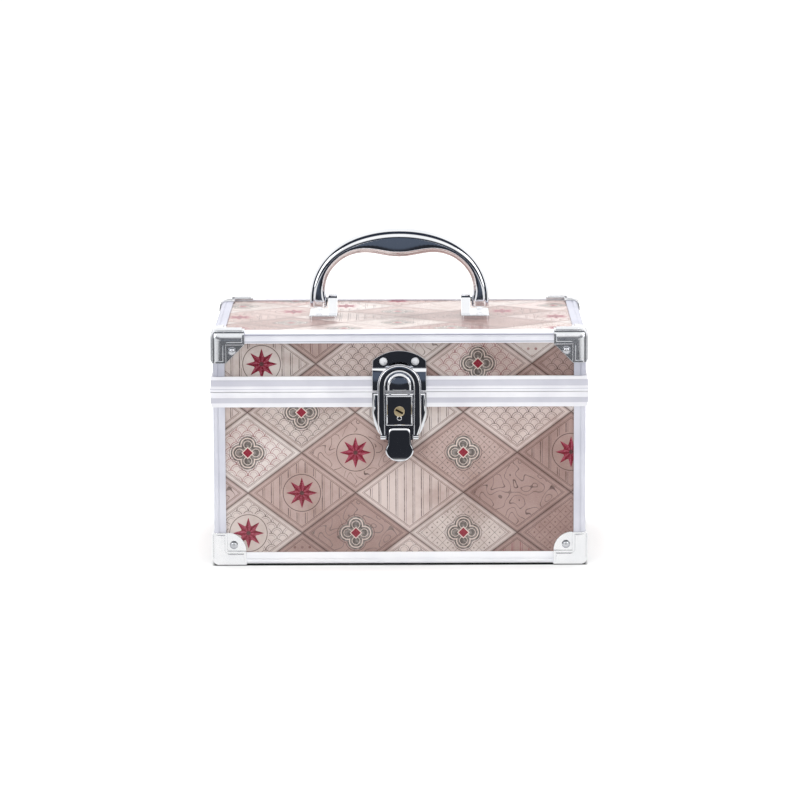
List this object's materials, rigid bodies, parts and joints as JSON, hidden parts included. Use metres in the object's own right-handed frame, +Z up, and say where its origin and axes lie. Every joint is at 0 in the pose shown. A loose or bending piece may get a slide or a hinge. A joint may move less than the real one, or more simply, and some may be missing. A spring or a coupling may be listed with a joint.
{
  "type": "makeup case",
  "caption": "Box-shaped makeup case with printed panels in an aluminium frame, a hinged lid with a handle, a key-lock draw latch and a lift-up tray inside.",
  "frame": {"origin": "on the floor, under the middle of the case's bounding box", "axes": "+X to the right seen from the front, front faces -Y, +Z up"},
  "size_m": [0.2312, 0.1688, 0.1973],
  "materials": {
    "printed_board": "laminated print, satin",
    "aluminium": "bright anodised",
    "chrome": "polished",
    "steel": "plain",
    "brass": "turned",
    "lining": "flocked",
    "plastic": "fine grain",
    "mirror": "silvered glass"
  },
  "bodies": {
    "case_body": {"body_back_edge": "aluminium", "body_back_panel": "printed_board", "body_bottom_panel": "printed_board", "body_cap_rivets": "chrome", "body_corner_caps": "chrome", "body_corner_posts": "aluminium", "body_front_edge": "aluminium", "body_front_panel": "printed_board", "body_hinge_rivets": "steel", "body_left_edge": "aluminium", "body_left_panel": "printed_board", "body_lining": "lining", "body_right_edge": "aluminium", "body_right_panel": "printed_board", "body_rim": "aluminium", "body_tray_studs": "steel", "hinge_pins": "steel", "latch_base": "chrome", "latch_base_rivets": "steel", "left_hinge_body_leaf": "steel", "lever_pin": "steel", "right_hinge_body_leaf": "steel"},
    "lid": {"lid_back_edge": "aluminium", "lid_back_panel": "printed_board", "lid_cap_rivets": "chrome", "lid_corner_caps": "chrome", "lid_corner_posts": "aluminium", "lid_front_edge": "aluminium", "lid_front_panel": "printed_board", "lid_hinge_rivets": "steel", "lid_left_edge": "aluminium", "lid_left_panel": "printed_board", "lid_lining": "lining", "lid_right_edge": "aluminium", "lid_right_panel": "printed_board", "lid_rim": "aluminium", "lid_top_panel": "printed_board", "lid_tray_studs": "steel", "left_hinge_lid_leaf": "steel", "right_hinge_lid_leaf": "steel", "strike_plate": "chrome", "strike_rivets": "chrome", "left_handle_bracket": "chrome", "right_handle_bracket": "chrome", "handle_pins": "steel", "bracket_screws": "steel", "mirror": "mirror", "mirror_frame": "plastic"},
    "tray_arms": {"left_tray_arm": "steel", "right_tray_arm": "steel"},
    "tray": {"tray": "plastic", "tray_arm_studs": "steel"},
    "handle": {"handle": "chrome"},
    "latch_lever": {"latch_lever": "chrome", "hasp_pin": "steel"},
    "latch_hasp": {"latch_hasp": "chrome"},
    "lock_plug": {"lock_cylinder": "brass", "lock_cam": "steel"}
  },
  "joints": [
    {"name": "lid_hinge", "type": "hinge", "parent": "case_body", "child": "lid", "pos_m": [0, 0.0814, 0.108], "axis": [-1, 0, 0], "range_deg": [0, 95]},
    {"name": "tray_arm_swing", "type": "hinge", "parent": "case_body", "child": "tray_arms", "pos_m": [0, 0.0514, 0.092], "axis": [-1, 0, 0], "range_deg": [0, 95]},
    {"name": "tray_level", "type": "hinge", "parent": "lid", "child": "tray", "pos_m": [0, 0.0374, 0.12], "axis": [-1, 0, 0], "range_deg": [-95, 0]},
    {"name": "handle_swing", "type": "hinge", "parent": "lid", "child": "handle", "pos_m": [0, 0, 0.1545], "axis": [1, 0, 0], "range_deg": [-85, 85]},
    {"name": "lever_lift", "type": "hinge", "parent": "case_body", "child": "latch_lever", "pos_m": [0, -0.0808, 0.1054], "axis": [-1, 0, 0], "range_deg": [0, 90]},
    {"name": "hasp_swing", "type": "hinge", "parent": "latch_lever", "child": "latch_hasp", "pos_m": [0, -0.0813, 0.0805], "axis": [-1, 0, 0], "range_deg": [-112.5, 0]},
    {"name": "key_turn", "type": "hinge", "parent": "latch_lever", "child": "lock_plug", "pos_m": [0, -0.0838, 0.0967], "axis": [0, 1, 0], "range_deg": [0, 90]}
  ],
  "couplings": [
    {"joint": "tray_arm_swing", "follows": "lid_hinge", "ratio": 1},
    {"joint": "tray_level", "follows": "lid_hinge", "ratio": -1},
    {"joint": "hasp_swing", "follows": "lever_lift", "ratio": -1.25}
  ]
}
